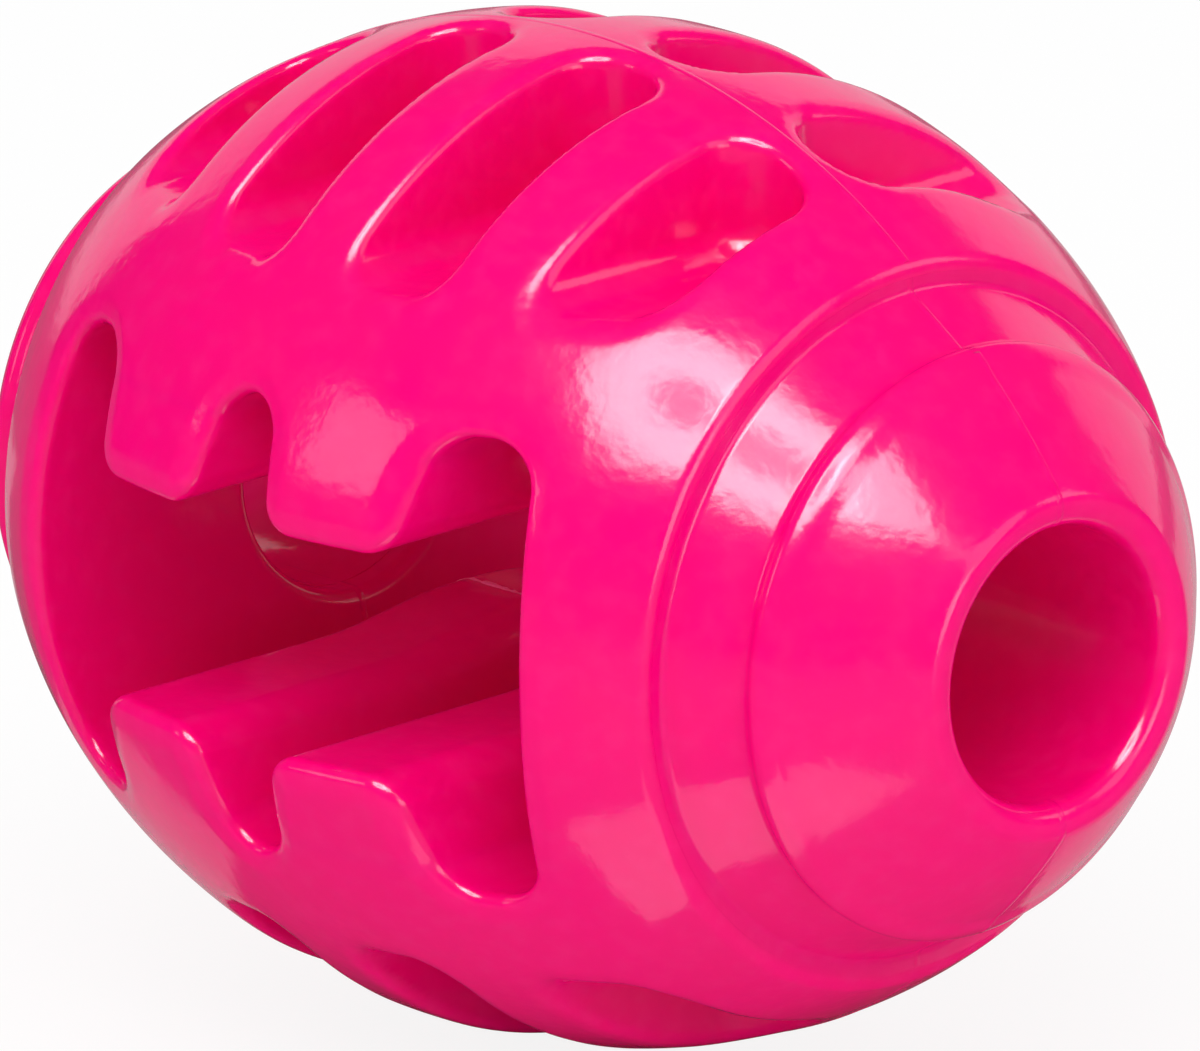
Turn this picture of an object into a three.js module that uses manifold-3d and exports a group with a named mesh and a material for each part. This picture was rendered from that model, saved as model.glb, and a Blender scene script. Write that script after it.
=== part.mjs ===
// A rugby ball dog toy in soft rubber: a ball of two halves with a window right through it,
// four rubber teeth that grip a chew in the window, sixteen pockets for treats,
// and a bored nose at each end. Millimetres, +X along the ball, -Y to the front, +Z up.
import * as THREE from 'three';
import { mergeVertices } from 'three/addons/utils/BufferGeometryUtils.js';
import Module from 'manifold-3d';

// Ball
const BALL_DIAMETER = 70;
const SHOULDER_DIAMETER = 50;
const SHOULDER_ROUND = 0.9;
const END_WALL = 7.6;

// Window through the ball
const WINDOW_LENGTH = 48.4;
const WINDOW_HEIGHT = 33.6;
const WINDOW_BOW = 1;
const WINDOW_CORNER = 3;

// Teeth in the window, two from above and two from below
const TOOTH_SPACING = 18.4;
const TOOTH_ROOT_WIDTH = 12.2;
const TOOTH_TIP_WIDTH = 10.4;
const TOOTH_TIP_ROUND = 2.2;
const TOOTH_TIP_GAP = 15.4;
const TOOTH_SHOULDER = 0.6;
const HINGE_DEPTH = 1.6;

// Pockets, four in each quarter of the ball
const POCKET_PITCH = 14.25;
const POCKET_WIDTH = 7.9;
const POCKET_ROUND = 2.8;
const POCKET_ROOF = 6;
const POCKET_WEB = 3;

// Noses
const NOSE_HEIGHT = 14.2;
const NOSE_LEDGE = 1.8;
const NOSE_BAND_HEIGHT = 4.4;
const NOSE_BAND_TAPER = 2.9;
const NOSE_RIM_STEP = 0.7;
const BORE_DIAMETER = 19.2;
const BORE_MOUTH_ROUND = 1.5;
const NOSE_LAND = 1;
const SLEEVE_WALL = 2.9;

// Fits
const CLEARANCE = 0.3;

// Fineness of the round shapes
const ROUND_SIDES = 48;
const BALL_RINGS = 13;
const DOME_RINGS = 6;
const CORNER_STEPS = 4;
const ROOT_SIDES = 32;

// Colour and finish of the rubber
const RUBBER_PINK = 0xf4127c;
const RUBBER_ROUGHNESS = 0.28;

const wasm = await Module();
wasm.setup();

const ballRadius = BALL_DIAMETER / 2;
const shoulderRadius = SHOULDER_DIAMETER / 2;
const shoulderX = WINDOW_LENGTH / 2 + END_WALL;
const noseTipX = shoulderX + NOSE_HEIGHT;
const boreRadius = BORE_DIAMETER / 2;
const sleeveRadius = boreRadius + SLEEVE_WALL;
const hingeX = TOOTH_SPACING / 2;
const hingeZ = WINDOW_HEIGHT / 2 - HINGE_DEPTH;
const rootRadius = TOOTH_ROOT_WIDTH / 2 - TOOTH_SHOULDER;
const pocketFloor = WINDOW_HEIGHT / 2 + POCKET_ROOF;
const halfGap = CLEARANCE / 2;
const throughCut = BALL_DIAMETER * 2;

function solidOf(geometry) {
  geometry.deleteAttribute('normal');
  geometry.deleteAttribute('uv');
  const closed = mergeVertices(geometry, 1e-4);
  const vertProperties = new Float32Array(closed.attributes.position.array);
  const triVerts = new Uint32Array(closed.index.array);
  return new wasm.Manifold(new wasm.Mesh({ numProp: 3, vertProperties, triVerts }));
}

function meshOf(solid, name) {
  const { vertProperties, triVerts } = solid.getMesh();
  const geometry = new THREE.BufferGeometry();
  geometry.setAttribute('position', new THREE.BufferAttribute(vertProperties, 3));
  geometry.setIndex(new THREE.BufferAttribute(triVerts, 1));
  geometry.computeVertexNormals();
  const material = new THREE.MeshStandardMaterial({
    color: RUBBER_PINK,
    roughness: RUBBER_ROUGHNESS,
    metalness: 0,
  });
  const mesh = new THREE.Mesh(geometry, material);
  mesh.name = name;
  return mesh;
}

// A profile of (radius, x) points turned about the X axis, with a flat side facing straight down.
function turned(profile) {
  const halfSide = Math.PI / ROUND_SIDES;
  const geometry = new THREE.LatheGeometry(profile, ROUND_SIDES, halfSide, 2 * Math.PI);
  geometry.rotateZ(-Math.PI / 2);
  return solidOf(geometry);
}

// An outline in X and Z, drawn out along Y from the given place towards the front.
function alongY(outline, from, length) {
  const geometry = new THREE.ExtrudeGeometry(outline, {
    depth: length,
    bevelEnabled: false,
    curveSegments: CORNER_STEPS,
  });
  geometry.rotateX(Math.PI / 2);
  geometry.translate(0, from, 0);
  return solidOf(geometry);
}

// An outline in X and Y, drawn out along Z through the whole ball.
function alongZ(outline) {
  const geometry = new THREE.ExtrudeGeometry(outline, {
    depth: throughCut,
    bevelEnabled: false,
    curveSegments: CORNER_STEPS,
  });
  geometry.translate(0, 0, -throughCut / 2);
  return solidOf(geometry);
}

// The ball's outer form: an ellipse turned about X, cut off square at both shoulders.
function ballForm() {
  const halfAxis = shoulderX / Math.sqrt(1 - (shoulderRadius / ballRadius) ** 2);
  const roundX = shoulderX - SHOULDER_ROUND;
  const endAngle = Math.asin(roundX / halfAxis);
  const roundRadius = ballRadius * Math.cos(endAngle);
  const profile = [new THREE.Vector2(0, -shoulderX)];
  profile.push(new THREE.Vector2(roundRadius - SHOULDER_ROUND, -shoulderX));
  for (let ring = 0; ring <= BALL_RINGS; ring += 1) {
    const angle = endAngle * (2 * ring / BALL_RINGS - 1);
    profile.push(new THREE.Vector2(ballRadius * Math.cos(angle), halfAxis * Math.sin(angle)));
  }
  profile.push(new THREE.Vector2(roundRadius - SHOULDER_ROUND, shoulderX));
  profile.push(new THREE.Vector2(0, shoulderX));
  return turned(profile);
}

// The window's outline: flat roof and floor, and end walls that bow out a little at mid height.
function windowOutline() {
  const halfHeight = WINDOW_HEIGHT / 2;
  const cornerX = WINDOW_LENGTH / 2 - WINDOW_BOW;
  const bowX = WINDOW_LENGTH / 2 + WINDOW_BOW;
  const roofEnd = cornerX - WINDOW_CORNER;
  const wallEnd = halfHeight - WINDOW_CORNER;
  const outline = new THREE.Shape();
  outline.moveTo(-roofEnd, -halfHeight);
  outline.lineTo(roofEnd, -halfHeight);
  outline.absarc(roofEnd, -wallEnd, WINDOW_CORNER, -Math.PI / 2, 0, false);
  outline.quadraticCurveTo(bowX, 0, cornerX, wallEnd);
  outline.absarc(roofEnd, wallEnd, WINDOW_CORNER, 0, Math.PI / 2, false);
  outline.lineTo(-roofEnd, halfHeight);
  outline.absarc(-roofEnd, wallEnd, WINDOW_CORNER, Math.PI / 2, Math.PI, false);
  outline.quadraticCurveTo(-bowX, 0, -cornerX, -wallEnd);
  outline.absarc(-roofEnd, -wallEnd, WINDOW_CORNER, Math.PI, 1.5 * Math.PI, false);
  return outline;
}

// The round groove in the window's roof that a tooth's round root sits in.
function rootGroove(x, z) {
  const radius = rootRadius + CLEARANCE;
  const geometry = new THREE.CylinderGeometry(radius, radius, throughCut, ROOT_SIDES);
  geometry.translate(x, 0, z);
  return solidOf(geometry);
}

// The hole in the ball's end wall that a nose's sleeve fits.
function sleeveSeat() {
  const radius = sleeveRadius + CLEARANCE;
  const seat = [
    new THREE.Vector2(0, -throughCut / 2),
    new THREE.Vector2(radius, -throughCut / 2),
    new THREE.Vector2(radius, throughCut / 2),
    new THREE.Vector2(0, throughCut / 2),
  ];
  return turned(seat);
}

// A pocket is open to the front and to the top. Its floor and its back wall have round corners.
function pocket(x, z) {
  const half = POCKET_WIDTH / 2;
  const round = Math.min(POCKET_ROUND, half);
  const far = throughCut / 2;
  const side = Math.sign(z);
  const floor = new THREE.Shape();
  floor.moveTo(x + half, side * far);
  floor.lineTo(x - half, side * far);
  floor.lineTo(x - half, z + side * round);
  floor.quadraticCurveTo(x - half, z, x - half + round, z);
  floor.lineTo(x + half - round, z);
  floor.quadraticCurveTo(x + half, z, x + half, z + side * round);
  const backY = -POCKET_WEB / 2;
  const back = new THREE.Shape();
  back.moveTo(x - half, -far);
  back.lineTo(x + half, -far);
  back.lineTo(x + half, backY - round);
  back.quadraticCurveTo(x + half, backY, x + half - round, backY);
  back.lineTo(x - half + round, backY);
  back.quadraticCurveTo(x - half, backY, x - half, backY - round);
  return alongY(floor, 0, far).intersect(alongZ(back));
}

// Half of the ball, in front of the seam.
function shell(ball) {
  const frontHalf = new THREE.BoxGeometry(throughCut, throughCut, throughCut);
  frontHalf.translate(0, -throughCut / 2 - halfGap, 0);
  let half = ball.intersect(solidOf(frontHalf));
  half = half.subtract(alongY(windowOutline(), throughCut / 2, throughCut));
  half = half.subtract(sleeveSeat());
  for (const side of [1, -1]) {
    for (const end of [1, -1]) {
      half = half.subtract(rootGroove(end * hingeX, side * hingeZ));
    }
    for (const place of [-1.5, -0.5, 0.5, 1.5]) {
      half = half.subtract(pocket(place * POCKET_PITCH, side * pocketFloor));
    }
  }
  return half;
}

// A tooth hangs from the window's roof. It leans about the middle of its round root.
function tooth(ball) {
  const rootHalf = TOOTH_ROOT_WIDTH / 2;
  const tipHalf = TOOTH_TIP_WIDTH / 2;
  const tipZ = TOOTH_TIP_GAP / 2;
  const roundTop = tipZ + TOOTH_TIP_ROUND;
  const outline = new THREE.Shape();
  outline.moveTo(hingeX + rootRadius, hingeZ);
  outline.absarc(hingeX, hingeZ, rootRadius, 0, Math.PI, false);
  outline.lineTo(hingeX - rootHalf, hingeZ);
  outline.lineTo(hingeX - tipHalf, roundTop);
  outline.quadraticCurveTo(hingeX - tipHalf, tipZ, hingeX - tipHalf + TOOTH_TIP_ROUND, tipZ);
  outline.lineTo(hingeX + tipHalf - TOOTH_TIP_ROUND, tipZ);
  outline.quadraticCurveTo(hingeX + tipHalf, tipZ, hingeX + tipHalf, roundTop);
  outline.lineTo(hingeX + rootHalf, hingeZ);
  return alongY(outline, throughCut / 2, throughCut).intersect(ball);
}

// A nose: a sleeve through the end wall, a tapered band on the shoulder, and a bored dome.
function nose() {
  const sleeveEnd = WINDOW_LENGTH / 2;
  const footX = shoulderX + CLEARANCE;
  const footRadius = shoulderRadius - NOSE_LEDGE;
  const bandEndX = shoulderX + NOSE_BAND_HEIGHT;
  const bandEndRadius = footRadius - NOSE_BAND_TAPER;
  const rimX = bandEndX + NOSE_RIM_STEP;
  const rimRadius = bandEndRadius + NOSE_RIM_STEP;
  const mouthX = noseTipX - BORE_MOUTH_ROUND;
  const mouthRadius = boreRadius + BORE_MOUTH_ROUND;
  const landRadius = mouthRadius + NOSE_LAND;
  const profile = [
    new THREE.Vector2(boreRadius, sleeveEnd),
    new THREE.Vector2(sleeveRadius, sleeveEnd),
    new THREE.Vector2(sleeveRadius, footX),
    new THREE.Vector2(footRadius, footX),
    new THREE.Vector2(bandEndRadius, bandEndX),
  ];
  // The dome is an arc from the rim to the flat land at the tip, with its centre on the axis.
  const span = noseTipX - rimX;
  const centreX = (rimX + noseTipX) / 2 - (rimRadius ** 2 - landRadius ** 2) / (2 * span);
  const domeRadius = Math.hypot(rimX - centreX, rimRadius);
  const rimAngle = Math.atan2(rimRadius, rimX - centreX);
  const landAngle = Math.atan2(landRadius, noseTipX - centreX);
  for (let ring = 0; ring <= DOME_RINGS; ring += 1) {
    const angle = rimAngle + (landAngle - rimAngle) * ring / DOME_RINGS;
    const radius = domeRadius * Math.sin(angle);
    profile.push(new THREE.Vector2(radius, centreX + domeRadius * Math.cos(angle)));
  }
  for (let step = 0; step <= CORNER_STEPS; step += 1) {
    const angle = Math.PI / 2 * step / CORNER_STEPS;
    const radius = mouthRadius - BORE_MOUTH_ROUND * Math.sin(angle);
    profile.push(new THREE.Vector2(radius, mouthX + BORE_MOUTH_ROUND * Math.cos(angle)));
  }
  profile.push(profile[0].clone());
  return turned(profile);
}

const ball = ballForm();
const shellSolid = shell(ball);
const toothSolid = tooth(ball);
const noseSolid = nose();

const toy = new THREE.Group();

const frontShell = meshOf(shellSolid, 'front_shell');
const rearShell = meshOf(shellSolid, 'rear_shell');
rearShell.rotation.z = Math.PI;
toy.add(frontShell, rearShell);

const rightNose = meshOf(noseSolid, 'right_nose');
const leftNose = meshOf(noseSolid, 'left_nose');
leftNose.rotation.z = Math.PI;
toy.add(rightNose, leftNose);

const upperRightTooth = meshOf(toothSolid, 'upper_right_tooth');
const upperLeftTooth = meshOf(toothSolid, 'upper_left_tooth');
const lowerRightTooth = meshOf(toothSolid, 'lower_right_tooth');
const lowerLeftTooth = meshOf(toothSolid, 'lower_left_tooth');
upperLeftTooth.rotation.z = Math.PI;
lowerRightTooth.rotation.x = Math.PI;
lowerLeftTooth.rotation.y = Math.PI;
toy.add(upperRightTooth, upperLeftTooth, lowerRightTooth, lowerLeftTooth);

export default toy;
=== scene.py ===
import math

import bmesh
import bpy
import numpy as np
from mathutils import Matrix, Vector
from mathutils.geometry import delaunay_2d_cdt


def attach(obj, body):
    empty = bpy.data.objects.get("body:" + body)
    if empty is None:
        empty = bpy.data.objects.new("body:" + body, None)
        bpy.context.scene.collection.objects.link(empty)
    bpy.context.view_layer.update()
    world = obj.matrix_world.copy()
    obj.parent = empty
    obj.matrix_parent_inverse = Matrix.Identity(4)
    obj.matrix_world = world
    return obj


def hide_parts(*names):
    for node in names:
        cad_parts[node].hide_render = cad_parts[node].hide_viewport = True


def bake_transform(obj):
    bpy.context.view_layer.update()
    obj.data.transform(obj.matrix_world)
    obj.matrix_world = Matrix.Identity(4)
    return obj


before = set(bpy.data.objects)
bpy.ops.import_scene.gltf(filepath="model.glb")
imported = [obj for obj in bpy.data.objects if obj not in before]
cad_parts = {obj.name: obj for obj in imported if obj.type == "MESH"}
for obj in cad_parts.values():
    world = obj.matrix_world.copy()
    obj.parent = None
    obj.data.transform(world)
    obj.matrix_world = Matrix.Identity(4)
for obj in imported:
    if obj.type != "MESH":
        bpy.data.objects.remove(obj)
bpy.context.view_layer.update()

# Front and rear shell
# The two halves of the ball, moulded in one shot from soft pink rubber and parted at the seam.
# The window runs straight through, and the treat pockets are cored out from the front and the rear.
mm = 0.001
shell_sizes = {
    "Ball Radius": 35 * mm,
    "Ball Half Length": 45.44 * mm,
    "Shoulder": 31.8 * mm,
    "Shoulder Round": 0.55 * mm,
    "Window Half Length": 23.85 * mm,
    "Window Half Height": 15.9 * mm,
    "Window Bow": 1.8 * mm,
    "Window Corner": 3 * mm,
    "Window Lip": 2 * mm,
    "Window Mouth Round": 0.95 * mm,
    "Tooth Place": 9.05 * mm,
    "Tooth Half Width": 5.2 * mm,
    "Tooth Flare": 0.2,
    "Tooth Tip": 7.7 * mm,
    "Tooth Draft": 1.3 * mm,
    "Tooth Draft Depth": 14 * mm,
    "Tooth Tip Round": 2.2 * mm,
    "Tooth Root Round": 2.3 * mm,
    "Pocket Pitch": 14.25 * mm,
    "Pocket Half Width": 3.95 * mm,
    "Pocket Floor": 23.2 * mm,
    "Pocket Web": 1.45 * mm,
    "Pocket End Round": 3.7 * mm,
    "Pocket Floor Round": 2.6 * mm,
    "Pocket Lip": 1.1 * mm,
    "Pocket Mouth Round": 0.65 * mm,
    "Bore Radius": 9.6 * mm,
    "Bore Start": 19.5 * mm,
    "Bore Inner Round": 1.0 * mm,
}
MATH = "ShaderNodeMath"
VECTOR = "ShaderNodeVectorMath"
GROUP = "GeometryNodeGroup"


def add(tree, kind, *inputs, **settings):
    """Adds a node with its settings. An input is a node, a socket or a plain value, and None skips it."""
    node = tree.nodes.new(kind)
    for name, value in settings.items():
        setattr(node, name, value)
    for socket, value in zip(node.inputs, inputs):
        if isinstance(value, bpy.types.Node):
            tree.links.new(value.outputs[0], socket)
        elif isinstance(value, bpy.types.NodeSocket):
            tree.links.new(value, socket)
        elif value is not None:
            socket.default_value = value
    return node


def new_tree(name, inputs, outputs):
    """An empty Geometry Nodes tree with these inputs and outputs, each a name and a kind of socket."""
    tree = bpy.data.node_groups.new(name, "GeometryNodeTree")
    for socket, kind in inputs:
        tree.interface.new_socket(socket, in_out="INPUT", socket_type=kind)
    for socket, kind in outputs:
        tree.interface.new_socket(socket, in_out="OUTPUT", socket_type=kind)
    return tree


# The corner between two surfaces, both given by their distance, rounded to a radius.
round_corner = new_tree(
    "round_corner",
    [(name, "NodeSocketFloat") for name in ("First", "Second", "Radius")],
    [("Distance", "NodeSocketFloat")],
)
first, second, radius = add(round_corner, "NodeGroupInput").outputs[:3]
near_first = add(round_corner, MATH, first, radius, operation="ADD")
near_second = add(round_corner, MATH, second, radius, operation="ADD")
near = add(round_corner, "ShaderNodeCombineXYZ", near_first, near_second)
near = add(round_corner, VECTOR, near, (0, 0, 0), operation="MAXIMUM")
arc = add(round_corner, VECTOR, near, operation="LENGTH").outputs["Value"]
inset = add(round_corner, MATH, radius, -1, operation="MULTIPLY")
sharp = add(round_corner, MATH, first, second, operation="MAXIMUM")
inside = add(round_corner, MATH, sharp, inset, operation="MINIMUM")
add(round_corner, "NodeGroupOutput", add(round_corner, MATH, inside, arc, operation="ADD"))

# The mouth of an opening: its lip rolls gently down to the opening and ends in a tighter round edge.
lip_angle = math.radians(12)
lip_ease = 0.12 * mm
mouth = new_tree(
    "soft_mouth",
    [(name, "NodeSocketFloat") for name in ("Solid", "Around", "Lip", "Round")],
    [("Distance", "NodeSocketFloat")],
)
whole, around, lip, mouth_round = add(mouth, "NodeGroupInput").outputs[:4]
roll = add(mouth, MATH, around, lip, operation="ADD")
roll = add(mouth, MATH, roll, math.sin(lip_angle), operation="MULTIPLY")
roll = add(mouth, MATH, whole, math.cos(lip_angle), roll, operation="MULTIPLY_ADD")
whole = add(mouth, MATH, whole, roll, lip_ease, operation="SMOOTH_MAX")
whole = add(mouth, GROUP, whole, around, mouth_round, node_tree=round_corner)
add(mouth, "NodeGroupOutput", whole)

# The rubber's form as a distance from its surface, the same in all eight corners of the frame.
form = new_tree(
    "rubber_form",
    [("Point", "NodeSocketVector")] + [(name, "NodeSocketFloat") for name in shell_sizes],
    [("Distance", "NodeSocketFloat")],
)
size = add(form, "NodeGroupInput").outputs
point = add(form, VECTOR, size["Point"], operation="ABSOLUTE")
along, deep, high = add(form, "ShaderNodeSeparateXYZ", point).outputs

half_axes = add(
    form, "ShaderNodeCombineXYZ", size["Ball Half Length"], size["Ball Radius"], size["Ball Radius"]
)
share = add(form, VECTOR, point, half_axes, operation="DIVIDE")
slope = add(form, VECTOR, share, half_axes, operation="DIVIDE")
reach = add(form, VECTOR, share, operation="LENGTH").outputs["Value"]
steep = add(form, VECTOR, slope, operation="LENGTH").outputs["Value"]
ball = add(form, MATH, reach, 1, operation="SUBTRACT")
ball = add(form, MATH, ball, reach, operation="MULTIPLY")
ball = add(form, MATH, ball, steep, operation="DIVIDE")
shoulder = add(form, MATH, along, size["Shoulder"], operation="SUBTRACT")
solid = add(form, GROUP, ball, shoulder, size["Shoulder Round"], node_tree=round_corner)

# The window's end walls bow outwards a little at mid height.
wall_height = add(form, MATH, high, size["Window Half Height"], operation="DIVIDE")
bow = add(form, MATH, wall_height, wall_height, operation="MULTIPLY")
bow = add(form, MATH, bow, size["Window Bow"], operation="MULTIPLY")
wall = add(form, MATH, along, size["Window Half Length"], operation="SUBTRACT")
wall = add(form, MATH, wall, bow, operation="ADD")
roof = add(form, MATH, high, size["Window Half Height"], operation="SUBTRACT")
window = add(form, GROUP, wall, roof, size["Window Corner"], node_tree=round_corner)

# A tooth flares towards its root, and its tip stands a little prouder at the seam than at the mouth.
side = add(form, MATH, along, size["Tooth Place"], operation="SUBTRACT")
side = add(form, MATH, side, operation="ABSOLUTE")
above_tip = add(form, MATH, high, size["Tooth Tip"], operation="SUBTRACT")
flare = add(form, MATH, above_tip, size["Tooth Flare"], operation="MULTIPLY")
flank = add(form, MATH, side, size["Tooth Half Width"], operation="SUBTRACT")
flank = add(form, MATH, flank, flare, operation="SUBTRACT")
draft = add(
    form, "ShaderNodeMapRange", deep, 0, size["Tooth Draft Depth"], size["Tooth Draft"], 0,
    interpolation_type="SMOOTHERSTEP",
)
tip = add(form, MATH, above_tip, draft, operation="ADD")
tip = add(form, MATH, tip, -1, operation="MULTIPLY")
tooth = add(form, GROUP, flank, tip, size["Tooth Tip Round"], node_tree=round_corner)
beside_tooth = add(form, MATH, tooth, -1, operation="MULTIPLY")
window = add(form, GROUP, window, beside_tooth, size["Tooth Root Round"], node_tree=round_corner)
around_window = add(form, MATH, window, -1, operation="MULTIPLY")
solid = add(
    form, GROUP, solid, around_window, size["Window Lip"], size["Window Mouth Round"], node_tree=mouth
)

# Pockets stand in pairs on both sides of one pitch. Their ends are round in plan, as are their floors.
across = add(form, MATH, along, size["Pocket Pitch"], operation="SUBTRACT")
across = add(form, MATH, across, operation="ABSOLUTE")
half_pitch = add(form, MATH, size["Pocket Pitch"], 0.5, operation="MULTIPLY")
across = add(form, MATH, across, half_pitch, operation="SUBTRACT")
across = add(form, MATH, across, operation="ABSOLUTE")
across = add(form, MATH, across, size["Pocket Half Width"], operation="SUBTRACT")
below = add(form, MATH, size["Pocket Floor"], high, operation="SUBTRACT")
behind = add(form, MATH, size["Pocket Web"], deep, operation="SUBTRACT")
pocket = add(form, GROUP, across, behind, size["Pocket End Round"], node_tree=round_corner)
pocket = add(form, GROUP, pocket, below, size["Pocket Floor Round"], node_tree=round_corner)
around_pocket = add(form, MATH, pocket, -1, operation="MULTIPLY")
solid = add(
    form, GROUP, solid, around_pocket, size["Pocket Lip"], size["Pocket Mouth Round"], node_tree=mouth
)

# The bore comes in through both end walls.
off_axis = add(form, "ShaderNodeCombineXYZ", 0, deep, high)
off_axis = add(form, VECTOR, off_axis, operation="LENGTH").outputs["Value"]
around_bore = add(form, MATH, size["Bore Radius"], off_axis, operation="SUBTRACT")
in_wall = add(form, MATH, along, size["Bore Start"], operation="SUBTRACT")
around_bore = add(form, MATH, around_bore, in_wall, operation="MINIMUM")
solid = add(form, GROUP, solid, around_bore, size["Bore Inner Round"], node_tree=round_corner)
add(form, "NodeGroupOutput", solid)

# One eighth of the ball, meshed from that form. Each point is then moved onto the true surface,
# and keeps the surface's own direction as its normal.
voxel = 0.41 * mm
probe_step = 0.02 * mm
probes = ((1, -1, -1), (-1, -1, 1), (-1, 1, -1), (1, 1, 1))
moves = 2
eighth = new_tree(
    "ball_eighth",
    [(name, "NodeSocketFloat") for name in shell_sizes]
    + [("Low Corner", "NodeSocketVector"), ("High Corner", "NodeSocketVector")]
    + [(name, "NodeSocketInt") for name in ("Steps X", "Steps Y", "Steps Z")]
    + [("Probe", "NodeSocketFloat"), ("Rubber", "NodeSocketMaterial")],
    [("Geometry", "NodeSocketGeometry")],
)
eighth_input = add(eighth, "NodeGroupInput").outputs
form_inputs = [eighth_input[name] for name in shell_sizes]
place = add(eighth, "GeometryNodeInputPosition")
distance = add(eighth, GROUP, place, *form_inputs, node_tree=form)
density = add(eighth, MATH, distance, -1, operation="MULTIPLY")
volume = add(
    eighth, "GeometryNodeVolumeCube", density, -voxel, eighth_input["Low Corner"],
    eighth_input["High Corner"], *[eighth_input["Steps " + axis] for axis in "XYZ"],
)
surface = add(eighth, "GeometryNodeVolumeToMesh", volume, None, None, 0, 0, resolution_mode="GRID")
near_surface = add(eighth, "ShaderNodeClamp", density, -voxel, voxel)
for move in range(moves + 1):
    direction = (0, 0, 0)
    for probe in probes:
        step = add(eighth, VECTOR, probe, operation="SCALE")
        eighth.links.new(eighth_input["Probe"], step.inputs["Scale"])
        probed = add(eighth, VECTOR, place, step, operation="ADD")
        probed = add(eighth, GROUP, probed, *form_inputs, node_tree=form)
        pull = add(eighth, VECTOR, probe, operation="SCALE")
        eighth.links.new(probed.outputs[0], pull.inputs["Scale"])
        direction = add(eighth, VECTOR, direction, pull, operation="ADD")
    direction = add(eighth, VECTOR, direction, operation="NORMALIZE")
    if move < moves:
        offset = add(eighth, VECTOR, direction, operation="SCALE")
        eighth.links.new(near_surface.outputs[0], offset.inputs["Scale"])
        surface = add(eighth, "GeometryNodeSetPosition", surface, None, None, offset)
surface = add(
    eighth, "GeometryNodeStoreNamedAttribute", surface, None, "form_normal",
    data_type="FLOAT_VECTOR", domain="POINT",
)
eighth.links.new(direction.outputs[0], surface.inputs["Value"])
surface = add(eighth, "GeometryNodeRealizeInstances", surface)
surface = add(eighth, "GeometryNodeSetMaterial", surface, None, eighth_input["Rubber"])
add(eighth, "NodeGroupOutput", surface)


def grown(name, tree, values, start=None):
    """The mesh that a tree makes with these values for its named inputs."""
    maker = bpy.data.objects.new(name, start or bpy.data.meshes.new(name))
    bpy.context.scene.collection.objects.link(maker)
    modifier = maker.modifiers.new(name, "NODES")
    modifier.node_group = tree
    for item in tree.interface.items_tree:
        if item.in_out == "INPUT" and item.name in values:
            modifier[item.identifier] = values[item.name]
    evaluated = maker.evaluated_get(bpy.context.evaluated_depsgraph_get())
    mesh = bpy.data.meshes.new_from_object(evaluated)
    bpy.data.objects.remove(maker)
    return mesh


def linear(colour):
    """An sRGB hex colour as linear red, green, blue and alpha."""
    channels = [int(colour[at:at + 2], 16) / 255 for at in (1, 3, 5)]
    curve = [
        channel / 12.92 if channel <= 0.04045 else ((channel + 0.055) / 1.055) ** 2.4
        for channel in channels
    ]
    return (*curve, 1)


# Thermoplastic rubber, moulded in a polished tool: a deep pink with a wet gloss and a little light
# under the skin. A chalky bloom mottles it, and ripples and peel from shrinking fray the edges of
# what it mirrors.
cloud_size = 9 * mm
cloud_range = (0.3, 0.7)
roughness_range = (0.1, 0.17)
bloom_size = 1.6 * mm
bloom_detail = 6
bloom_range = (0.46, 0.76)
bloom_most = 0.07
ripples = ((4 * mm, 0.055 * mm), (0.9 * mm, 0.02 * mm))
rubber = bpy.data.materials.new("moulded_tpr_rubber")
rubber.use_nodes = True
paint = rubber.node_tree
skin = paint.nodes["Principled BSDF"]
where = add(paint, "ShaderNodeTexCoord").outputs["Object"]
cloud = add(paint, "ShaderNodeTexNoise", where)
cloud.inputs["Scale"].default_value = 1 / cloud_size
pink = add(paint, "ShaderNodeMix", data_type="RGBA")
paint.links.new(cloud.outputs["Fac"], pink.inputs["Factor"])
pink.inputs["A"].default_value = linear("#F10075")
pink.inputs["B"].default_value = linear("#EB006D")
bloom = add(paint, "ShaderNodeTexNoise", where)
bloom.inputs["Scale"].default_value = 1 / bloom_size
bloom.inputs["Detail"].default_value = bloom_detail
bloom_share = add(paint, "ShaderNodeMapRange", bloom.outputs["Fac"], *bloom_range, 0, bloom_most)
bloomed = add(paint, "ShaderNodeMix", data_type="RGBA")
paint.links.new(bloom_share.outputs["Result"], bloomed.inputs["Factor"])
paint.links.new(pink.outputs["Result"], bloomed.inputs["A"])
bloomed.inputs["B"].default_value = linear("#F8519B")
skin_bump = None
for ripple_length, ripple_height in ripples:
    ripple = add(paint, "ShaderNodeTexNoise", where)
    ripple.inputs["Scale"].default_value = 1 / ripple_length
    bump = add(paint, "ShaderNodeBump")
    bump.inputs["Strength"].default_value = 1
    bump.inputs["Distance"].default_value = ripple_height
    paint.links.new(ripple.outputs["Fac"], bump.inputs["Height"])
    if skin_bump:
        paint.links.new(skin_bump.outputs["Normal"], bump.inputs["Normal"])
    skin_bump = bump
gloss = add(paint, "ShaderNodeMapRange", cloud.outputs["Fac"], *cloud_range, *roughness_range)
paint.links.new(bloomed.outputs["Result"], skin.inputs["Base Color"])
paint.links.new(gloss.outputs["Result"], skin.inputs["Roughness"])
paint.links.new(skin_bump.outputs["Normal"], skin.inputs["Normal"])
skin.inputs["IOR"].default_value = 1.5
skin.inputs["Subsurface Weight"].default_value = 0.1
skin.inputs["Subsurface Radius"].default_value = (1, 0.1, 0.3)
skin.inputs["Subsurface Scale"].default_value = 1.5 * mm

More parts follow.
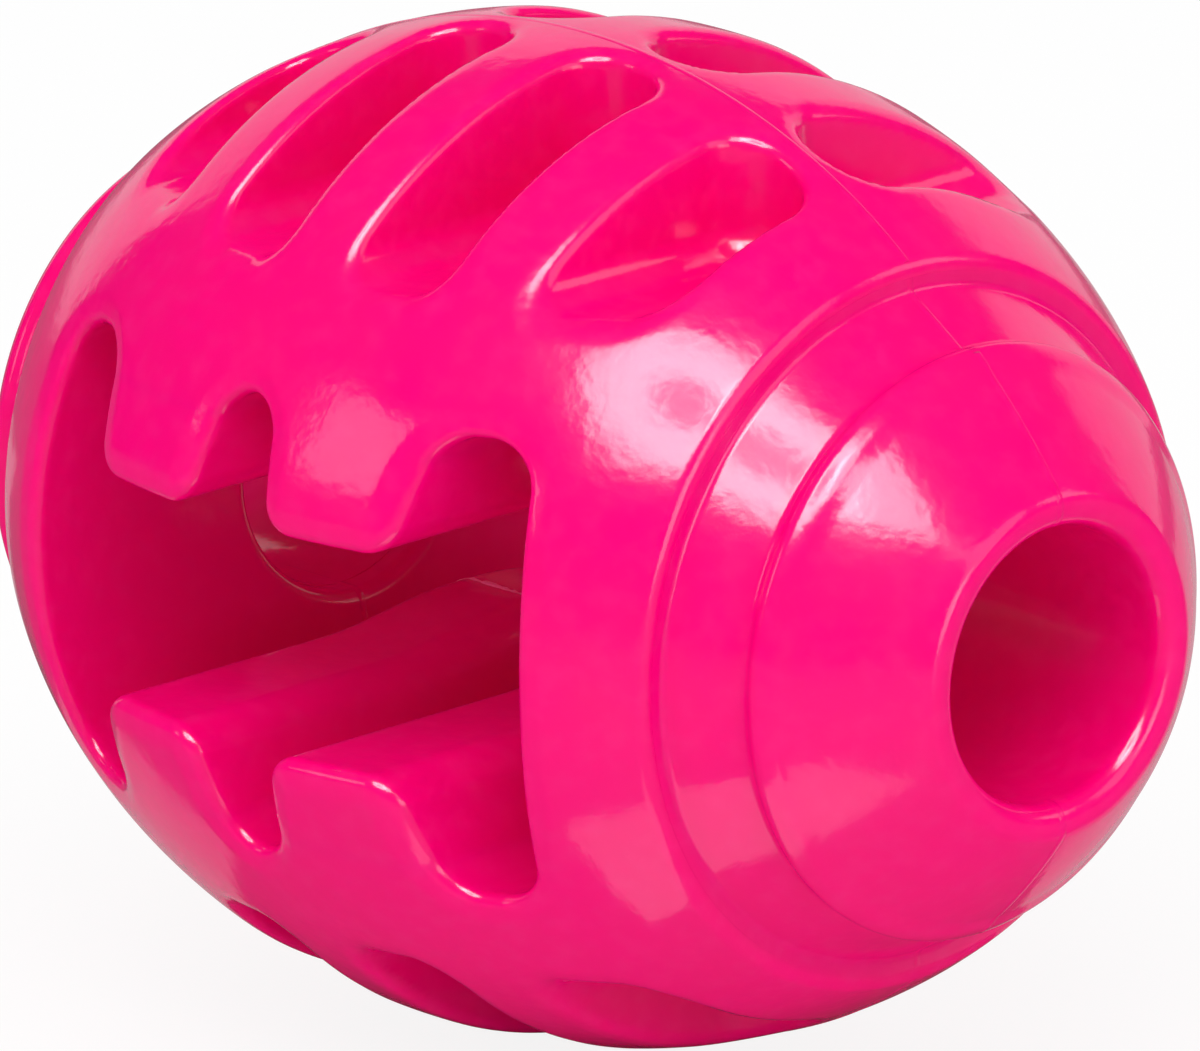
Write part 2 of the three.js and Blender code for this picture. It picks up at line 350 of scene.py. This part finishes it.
margin = 3 * voxel
low_corner = Vector((-margin, -margin, -margin))
far_reach = Vector((shell_sizes["Shoulder"], shell_sizes["Ball Radius"], shell_sizes["Ball Radius"]))
high_corner = far_reach - low_corner
steps = [round(length / voxel) for length in high_corner - low_corner]
eighth_mesh = grown("ball_eighth", eighth, {
    **shell_sizes,
    "Low Corner": low_corner,
    "High Corner": high_corner,
    "Steps X": steps[0],
    "Steps Y": steps[1],
    "Steps Z": steps[2],
    "Probe": probe_step,
    "Rubber": rubber,
})

# The eighth is trimmed at the three middle planes, and the tooth is parted from it at its root.
root_height = 14.2 * mm
notch_middle = 19.5 * mm
hair = 0.00001 * mm
touching = 0.001 * mm
weld = 0.002 * mm
front_to_rear = 1
upwards = 2
source = bmesh.new()
source.from_mesh(eighth_mesh)
for axis in range(3):
    across_axis = [0, 0, 0]
    across_axis[axis] = 1
    everything = source.verts[:] + source.edges[:] + source.faces[:]
    bmesh.ops.bisect_plane(
        source, geom=everything, dist=hair, plane_co=(0, 0, 0), plane_no=across_axis, clear_inner=True
    )
    for vert in source.verts:
        if abs(vert.co[axis]) < touching:
            vert.co[axis] = 0
tooth_side = [face for face in source.faces if face.calc_center_median().x < notch_middle]
tooth_geometry = {item for face in tooth_side for item in (face, *face.edges, *face.verts)}
bmesh.ops.bisect_plane(
    source, geom=list(tooth_geometry), dist=hair, plane_co=(0, 0, root_height), plane_no=(0, 0, 1)
)
tooth_faces = []
shell_faces = []
for face in source.faces:
    middle = face.calc_center_median()
    if middle.x < notch_middle and middle.z < root_height:
        tooth_faces.append(face)
    else:
        shell_faces.append(face)
source.verts.index_update()
source_normal = source.verts.layers.float_vector["form_normal"]


def mirrored(faces, corners):
    """Copies of the faces in these corners of the frame, joined where they meet."""
    joined = bmesh.new()
    normal = joined.verts.layers.float_vector.new("form_normal")
    for corner_signs in corners:
        signs = Vector(corner_signs)
        copies = {}
        for face in faces:
            loop = []
            for vert in face.verts:
                if vert.index not in copies:
                    copy = joined.verts.new(vert.co * signs)
                    copy[normal] = vert[source_normal] * signs
                    copies[vert.index] = copy
                loop.append(copies[vert.index])
            if signs.x * signs.y * signs.z < 0:
                loop.reverse()
            joined.faces.new(loop).smooth = True
    bmesh.ops.remove_doubles(joined, verts=joined.verts, dist=weld)
    return joined


def closed_at(shape, axis, value):
    """Closes the shape with flat faces where it was cut at one value of an axis."""
    rim = [
        edge for edge in shape.edges
        if len(edge.link_faces) < 2 and all(abs(vert.co[axis] - value) < touching for vert in edge.verts)
    ]
    verts = list({vert for edge in rim for vert in edge.verts})
    number = {vert: at for at, vert in enumerate(verts)}
    flat = [Vector([vert.co[way] / mm for way in range(3) if way != axis]) for vert in verts]
    lines = [[number[vert] for vert in edge.verts] for edge in rim]
    inside_lines = 1
    closest = 0.00001
    cut = delaunay_2d_cdt(flat, lines, [], inside_lines, closest)
    cut_faces = cut[2]
    cut_sources = cut[3]
    for face in cut_faces:
        shape.faces.new([verts[cut_sources[at][0]] for at in face]).smooth = False


def finished(name, shape):
    """A named piece from a closed shape, shaded by the form's own normals where it is smooth."""
    bmesh.ops.recalc_face_normals(shape, faces=shape.faces)
    mesh = bpy.data.meshes.new(name)
    shape.to_mesh(mesh)
    shape.free()
    mesh.materials.append(rubber)
    corner_verts = np.zeros(len(mesh.loops), np.int32)
    mesh.loops.foreach_get("vertex_index", corner_verts)
    form_normals = np.zeros(len(mesh.vertices) * 3, np.float32)
    mesh.attributes["form_normal"].data.foreach_get("vector", form_normals)
    normals = form_normals.reshape(-1, 3)[corner_verts]
    for face in mesh.polygons:
        if not face.use_smooth:
            normals[face.loop_start:face.loop_start + face.loop_total] = face.normal
    normals /= np.linalg.norm(normals, axis=1)[:, None]
    mesh.normals_split_custom_set(normals)
    mesh.attributes.remove(mesh.attributes["form_normal"])
    piece = bpy.data.objects.new(name, mesh)
    bpy.context.scene.collection.objects.link(piece)
    return piece


# Where a tooth was parted off, an edge across its root closes the outline of the cut at the seam.
for name, front in (("front_shell", -1), ("rear_shell", 1)):
    shape = mirrored(shell_faces, [(x, front, z) for x in (1, -1) for z in (1, -1)])
    ends = [
        vert for vert in shape.verts
        if vert.is_boundary and abs(vert.co.y) < hair and abs(abs(vert.co.z) - root_height) < touching
    ]
    for x in (1, -1):
        for z in (1, -1):
            pair = [vert for vert in ends if vert.co.x * x > 0 and vert.co.z * z > 0]
            shape.edges.new(pair)
    closed_at(shape, front_to_rear, 0)
    for z in (1, -1):
        closed_at(shape, upwards, z * root_height)
    shell = finished(name + "_rubber", shape)
    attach(shell, "ball")
    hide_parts(name)

# Teeth
# Four broad rubber ribs that run through the window from front to rear, two from its roof and two
# from its floor. They are one with the shells, and bend over at their roots.
teeth = (
    ("upper_right_tooth", 1, 1),
    ("upper_left_tooth", -1, 1),
    ("lower_right_tooth", 1, -1),
    ("lower_left_tooth", -1, -1),
)


for name, x, z in teeth:
    shape = mirrored(tooth_faces, [(x, y, z) for y in (1, -1)])
    closed_at(shape, upwards, z * root_height)
    tooth_piece = finished(name + "_rubber", shape)
    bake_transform(tooth_piece)
    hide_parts(name)

# Right and left nose
# Turned-looking domes at both ends, one with the ball in the real moulding: a tapered band stands on
# the shoulder, a rounded rim overhangs it, and the dome rolls over into the bore for a chew stick.
sleeve_proud = 0.03 * mm
bore = shell_sizes["Bore Radius"] - sleeve_proud
sleeve_end = 25.4 * mm
sleeve_wall = 0.8 * mm
shoulder_x = shell_sizes["Shoulder"]
foot_sink = 0.1 * mm
foot_rise = 0.02 * mm
foot_radius = 23.15 * mm
foot_spread = 1 * mm
foot_round = 0.45 * mm
band_end = (36.55 * mm, 20.13 * mm)
band_round = 0.42 * mm
rim_edge = (37.65 * mm, 20.6 * mm)
bead_end = (38.65 * mm, 19.95 * mm)
rim_round = 0.5 * mm
dome_start = np.array((39.5 * mm, 18.95 * mm))
dome_end = np.array((45.7 * mm, 12.2 * mm))
dome_radius = 48 * mm
dome_steps = 28
nose_tip = 46.05 * mm
ring_radius = 11.7 * mm
ring_round = 0.45 * mm
lip_round = 1.6 * mm
turns = 256
sharp_angle = math.radians(40)


def rounded(corners, steps=9):
    """The line through these corners, each (x, radius, reach), rounded over its reach on both sides."""
    line = []
    for at, (x, radius, reach) in enumerate(corners):
        here = np.array((x, radius))
        if not reach:
            line.append(here)
            continue
        before = np.array(corners[at - 1][:2]) - here
        after = np.array(corners[(at + 1) % len(corners)][:2]) - here
        begin = here + before / np.linalg.norm(before) * reach
        end = here + after / np.linalg.norm(after) * reach
        for part in np.linspace(0, 1, steps):
            rest = 1 - part
            line.append(rest ** 2 * begin + 2 * part * rest * here + part ** 2 * end)
    return np.array(line)


chord = dome_end - dome_start
outward = np.array((-chord[1], chord[0])) / np.linalg.norm(chord)
half_chord = np.linalg.norm(chord) / 2
centre_depth = math.sqrt(dome_radius ** 2 - half_chord ** 2)
dome = []
for part in np.linspace(-1, 1, dome_steps):
    bulge = math.sqrt(dome_radius ** 2 - (part * half_chord) ** 2) - centre_depth
    dome.append((*(dome_start + chord * (part + 1) / 2 + outward * bulge), 0))
nose_line = rounded([
    (sleeve_end, bore, 0),
    (sleeve_end, bore + sleeve_wall, 0),
    (shoulder_x - foot_sink, bore + sleeve_wall, 0),
    (shoulder_x - foot_sink, foot_radius + foot_spread, 0),
    (shoulder_x + foot_rise, foot_radius + foot_spread, 0),
    (shoulder_x + foot_rise, foot_radius, foot_round),
    (*band_end, band_round),
    (*rim_edge, rim_round),
    (*bead_end, rim_round),
    *dome,
    (nose_tip, ring_radius, ring_round),
    (nose_tip, bore, lip_round),
])
noses = (("right_nose", 1), ("left_nose", -1))
for name, end in noses:
    shape = bmesh.new()
    rings = []
    for turn in range(turns):
        angle = 2 * math.pi * turn / turns
        rings.append([
            shape.verts.new((end * x, radius * math.sin(angle), radius * math.cos(angle)))
            for x, radius in nose_line
        ])
    for turn in range(turns):
        ring = rings[turn]
        onward = rings[(turn + 1) % turns]
        for at in range(len(nose_line)):
            following = (at + 1) % len(nose_line)
            shape.faces.new((ring[at], ring[following], onward[following], onward[at])).smooth = True
    bmesh.ops.recalc_face_normals(shape, faces=shape.faces)
    mesh = bpy.data.meshes.new(name + "_rubber")
    shape.to_mesh(mesh)
    shape.free()
    mesh.set_sharp_from_angle(angle=sharp_angle)
    mesh.materials.append(rubber)
    nose = bpy.data.objects.new(name + "_rubber", mesh)
    bpy.context.scene.collection.objects.link(nose)
    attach(nose, "ball")
    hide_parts(name)

# Seam flash
# The mould's halves met in the plane of the seam, and a hair of rubber crept in between them. It
# stands as a low soft ridge all along that plane, on the ball, the noses and the tips of the teeth.
flash_radius = 1 * mm
flash_sink = 0.96 * mm
flash_sides = 48
seam_stop = 0.2 * mm
torn_radius = 0.24 * mm
torn_sink = 0.06 * mm
torn_least = 0.4
tear_length = 0.7 * mm
tear_range = (0.4, 0.6)
flash = new_tree(
    "seam_flash",
    [("Seam", "NodeSocketGeometry")]
    + [(name, "NodeSocketFloat") for name in ("Flash Radius", "Least Share", "Tear Length")]
    + [("Rubber", "NodeSocketMaterial")],
    [("Geometry", "NodeSocketGeometry")],
)
flash_input = add(flash, "NodeGroupInput").outputs
seam_line = add(flash, "GeometryNodeMeshToCurve", flash_input["Seam"])
tears = add(flash, "ShaderNodeTexNoise")
tear_scale = add(flash, MATH, 1, flash_input["Tear Length"], operation="DIVIDE")
flash.links.new(tear_scale.outputs[0], tears.inputs["Scale"])
torn_share = add(
    flash, "ShaderNodeMapRange", tears.outputs["Fac"], *tear_range, flash_input["Least Share"], 1
)
ridge = add(flash, "GeometryNodeCurvePrimitiveCircle", flash_sides)
flash.links.new(flash_input["Flash Radius"], ridge.inputs["Radius"])
ridge = add(flash, "GeometryNodeCurveToMesh", seam_line, ridge, torn_share)
ridge.inputs["Fill Caps"].default_value = True
ridge = add(flash, "GeometryNodeRealizeInstances", ridge)
ridge = add(flash, "GeometryNodeSetMaterial", ridge, None, flash_input["Rubber"])
add(flash, "NodeGroupOutput", ridge)


def seam_mesh(name, lines):
    """A mesh of bare edges, one for each pair of points."""
    points = bmesh.new()
    for line in lines:
        points.edges.new([points.verts.new(end) for end in line])
    bmesh.ops.remove_doubles(points, verts=points.verts, dist=weld)
    mesh = bpy.data.meshes.new(name)
    points.to_mesh(mesh)
    points.free()
    return mesh


def seam_of(faces, sink):
    """The edges of these faces that lie in the seam's plane, as pairs of points sunk in the rubber."""
    lines = []
    for edge in {edge for face in faces for edge in face.edges}:
        on_seam = all(vert.co.y == 0 for vert in edge.verts)
        at_nose = max(vert.co.x for vert in edge.verts) > shoulder_x - seam_stop
        if on_seam and not at_nose:
            lines.append([vert.co - vert[source_normal] * sink for vert in edge.verts])
    return lines


def flash_piece(name, lines, signs, ridge_radius, least_share, material):
    """The ridge along these lines, in each of the corners of the frame with these signs."""
    lines = [[end * Vector(sign) for end in line] for sign in signs for line in lines]
    mesh = grown(name, flash, {
        "Flash Radius": ridge_radius,
        "Least Share": least_share,
        "Tear Length": tear_length,
        "Rubber": material,
    }, seam_mesh(name, lines))
    for face in mesh.polygons:
        face.use_smooth = True
    piece = bpy.data.objects.new(name, mesh)
    bpy.context.scene.collection.objects.link(piece)
    return piece


ball_seam = seam_of(shell_faces, flash_sink)
ball_signs = [(x, 1, z) for x in (1, -1) for z in (1, -1)]
ball_flash = flash_piece("ball_seam_flash", ball_seam, ball_signs, flash_radius, 1, rubber)
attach(ball_flash, "ball")
nose_run = np.array([nose_point for nose_point in nose_line if nose_point[0] > shoulder_x])
run_along = np.gradient(nose_run, axis=0)
run_out = np.stack((-run_along[:, 1], run_along[:, 0]), axis=1)
run_out /= np.linalg.norm(run_out, axis=1)[:, None]
nose_seam = [Vector((x, 0, radius)) for x, radius in nose_run - run_out * flash_sink]
nose_lines = list(zip(nose_seam, nose_seam[1:]))
for name, x in noses:
    nose_signs = [(x, 1, z) for z in (1, -1)]
    nose_flash = flash_piece(name + "_seam_flash", nose_lines, nose_signs, flash_radius, 1, rubber)
    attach(nose_flash, "ball")

# The same rubber, stretched thin and torn where the tool opened: dull and uneven, with a paler pink
# painted on it for the light that shines through the thin flash.
torn = bpy.data.materials.new("torn_rubber_painted_light")
torn.use_nodes = True
torn_nodes = torn.node_tree
torn_skin = torn_nodes.nodes["Principled BSDF"]
torn_where = add(torn_nodes, "ShaderNodeTexCoord").outputs["Object"]
torn_cloud = add(torn_nodes, "ShaderNodeTexNoise", torn_where)
torn_cloud.inputs["Scale"].default_value = 1 / tear_length
# Painted light: a paler pink, mottled by the noise, stands in for light shining through the thin flash.
lit_through_pink = add(torn_nodes, "ShaderNodeMix", data_type="RGBA")
torn_nodes.links.new(torn_cloud.outputs["Fac"], lit_through_pink.inputs["Factor"])
lit_through_pink.inputs["A"].default_value = linear("#F8308C")
lit_through_pink.inputs["B"].default_value = linear("#FF7CBC")
torn_nodes.links.new(lit_through_pink.outputs["Result"], torn_skin.inputs["Base Color"])
torn_skin.inputs["Roughness"].default_value = 0.5
tooth_seam = seam_of(tooth_faces, torn_sink)
for name, x, z in teeth:
    tooth_flash = flash_piece(
        name + "_seam_flash", tooth_seam, [(x, 1, z)], torn_radius, torn_least, torn
    )
    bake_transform(tooth_flash)
source.free()

# Floor
# A plain pale table top that the ball lies on, painted flat and dull. It shows white behind the ball,
# and greyer in the ball's gloss.
floor_size = 6
floor_glow = 0.88
half = floor_size / 2
floor_mesh = bpy.data.meshes.new("floor")
floor_mesh.from_pydata(
    [(-half, -half, 0), (half, -half, 0), (half, half, 0), (-half, half, 0)], [], [(0, 1, 2, 3)]
)
floor = bpy.data.objects.new("floor", floor_mesh)
floor.location.z = -shell_sizes["Ball Radius"] - flash_radius + flash_sink
bpy.context.scene.collection.objects.link(floor)
table = bpy.data.materials.new("pale_table")
table.use_nodes = True
floor_mesh.materials.append(table)
table_nodes = table.node_tree
table_top = table_nodes.nodes["Principled BSDF"]
table_top.inputs["Roughness"].default_value = 0.6
ray = add(table_nodes, "ShaderNodeLightPath").outputs
table_colour = add(table_nodes, "ShaderNodeMix", data_type="RGBA")
table_nodes.links.new(ray["Is Glossy Ray"], table_colour.inputs["Factor"])
table_colour.inputs["A"].default_value = linear("#F0F0F0")
table_colour.inputs["B"].default_value = linear("#5C5C5C")
table_nodes.links.new(table_colour.outputs["Result"], table_top.inputs["Base Color"])
in_view = add(table_nodes, MATH, ray["Is Camera Ray"], ray["Is Transmission Ray"], operation="MAXIMUM")
glow_share = add(table_nodes, MATH, in_view, floor_glow, operation="MULTIPLY")
glow = add(table_nodes, "ShaderNodeEmission", (1, 1, 1, 1), 1)
mixed = add(table_nodes, "ShaderNodeMixShader", glow_share, table_top, glow)
table_nodes.links.new(mixed.outputs[0], table_nodes.nodes["Material Output"].inputs["Surface"])

# Light
# A white tent gives even light from all round, and a big soft panel above the camera adds to it.
# In the rubber's gloss show that panel with a dim middle, smaller ones at the left and the right,
# a pale card behind, and cards that lie on the floor and light the underside and the edges.
tent_light = 0.78
tent_in_gloss = 0.01
world = bpy.data.worlds.new("white_tent")
bpy.context.scene.world = world
world.use_nodes = True
tent = world.node_tree
tent_ray = add(tent, "ShaderNodeLightPath").outputs
white = add(tent, MATH, tent_ray["Is Camera Ray"], 1 - tent_light, tent_light, operation="MULTIPLY_ADD")
dimming = tent_in_gloss - tent_light
strength = add(tent, MATH, tent_ray["Is Glossy Ray"], dimming, white, operation="MULTIPLY_ADD")
tent.nodes["Background"].inputs["Color"].default_value = (1, 1, 1, 1)
tent.links.new(strength.outputs[0], tent.nodes["Background"].inputs["Strength"])


def toward(azimuth, elevation):
    """The direction to a place at these angles in degrees, where azimuth 0 is in front of the window."""
    turn = math.radians(azimuth)
    rise = math.radians(elevation)
    return Vector((math.sin(turn) * math.cos(rise), -math.cos(turn) * math.cos(rise), math.sin(rise)))


def panel(name, place, facing, width, height, radiance, gloss_only=False):
    """A soft rectangular lamp at a place, which shines against a direction."""
    lamp = bpy.data.lights.new(name, "AREA")
    lamp.shape = "RECTANGLE"
    lamp.size = width
    lamp.size_y = height
    lamp.energy = radiance * math.pi * width * height
    holder = bpy.data.objects.new(name, lamp)
    holder.location = place
    holder.rotation_mode = "QUATERNION"
    holder.rotation_quaternion = facing.to_track_quat("Z", "Y")
    holder.visible_camera = False
    holder.visible_diffuse = not gloss_only
    bpy.context.scene.collection.objects.link(holder)
    return holder


lamp_distance = 0.7
sheen_distance = 0.66
above = toward(39.5, 54.5)
key = panel("key", above * lamp_distance, above, 0.5, 0.5, 3.25)
key.visible_glossy = False
key_sheen = panel("key_sheen", above * sheen_distance, above, 0.4, 0.4, 14, gloss_only=True)
key_sheen.data.use_nodes = True
sheen = key_sheen.data.node_tree
from_middle = add(sheen, "ShaderNodeNewGeometry").outputs["Parametric"]
from_middle = add(sheen, VECTOR, from_middle, (0.5, 0.5, 0), operation="SUBTRACT")
from_middle = add(sheen, VECTOR, from_middle, operation="LENGTH").outputs["Value"]
sheen_ramp = add(sheen, "ShaderNodeValToRGB", from_middle)
sheen_stops = sheen_ramp.color_ramp.elements
for away, bright in ((0.11, 0.28), (0.24, 1), (0.42, 0.85), (0.64, 0.1)):
    stop = sheen_stops.new(away)
    stop.color = (bright, bright, bright, 1)
sheen_stops.remove(sheen_stops[0])
sheen_stops.remove(sheen_stops[-1])
sheen.links.new(sheen_ramp.outputs["Color"], sheen.nodes["Emission"].inputs["Strength"])
for name, azimuth, elevation, width, height, radiance, gloss_only in (
    ("nose_sheen", 69, 48, 0.22, 0.27, 9, True),
    ("left_fill", -25, 24, 0.19, 0.19, 2, False),
    ("right_fill", 100, 22, 0.4, 0.4, 1.2, False),
    ("edge_light", 86, 8, 0.24, 0.25, 2.6, True),
    ("card_behind", -141, 13, 1.4, 0.52, 0.62, False),
    ("far_card", 136, 24, 0.2, 0.2, 1.6, True),
):
    lamp_side = toward(azimuth, elevation)
    panel(name, lamp_side * lamp_distance, lamp_side, width, height, radiance, gloss_only)
for name, card_place, width, height, radiance in (
    ("low_card", (49, -37, -34), 0.042, 0.024, 1),
    ("left_card", (-42, -14, -34), 0.04, 0.04, 0.3),
    ("rear_card", (-60, 140, -34), 0.24, 0.24, 0.32),
):
    panel(name, Vector(card_place) * mm, Vector((0, 0, -1)), width, height, radiance, gloss_only=True)

# Camera
# At the photograph's angle, far off with a long lens, and turned a little about its own axis as the
# photograph is.
camera_roll = math.radians(-0.852)
camera_distance = 1.4
camera_shift = 0.743 * mm
focal_pixels = 20567.6
image_width = 1200
back = toward(47.12, 17.22)
level = Vector((0, 0, 1)).cross(back).normalized()
upright = back.cross(level)
rightward = math.cos(camera_roll) * level + math.sin(camera_roll) * upright
upward = math.cos(camera_roll) * upright - math.sin(camera_roll) * level
lens = bpy.data.cameras.new("camera")
lens.sensor_width = 36
lens.lens = focal_pixels / image_width * lens.sensor_width
lens.clip_end = 20
camera = bpy.data.objects.new("camera", lens)
camera.rotation_mode = "QUATERNION"
camera.rotation_quaternion = Matrix((rightward, upward, back)).transposed().to_quaternion()
camera.location = back * camera_distance + rightward * camera_shift
bpy.context.scene.collection.objects.link(camera)
bpy.context.scene.camera = camera
bpy.context.scene.view_settings.view_transform = "Standard"
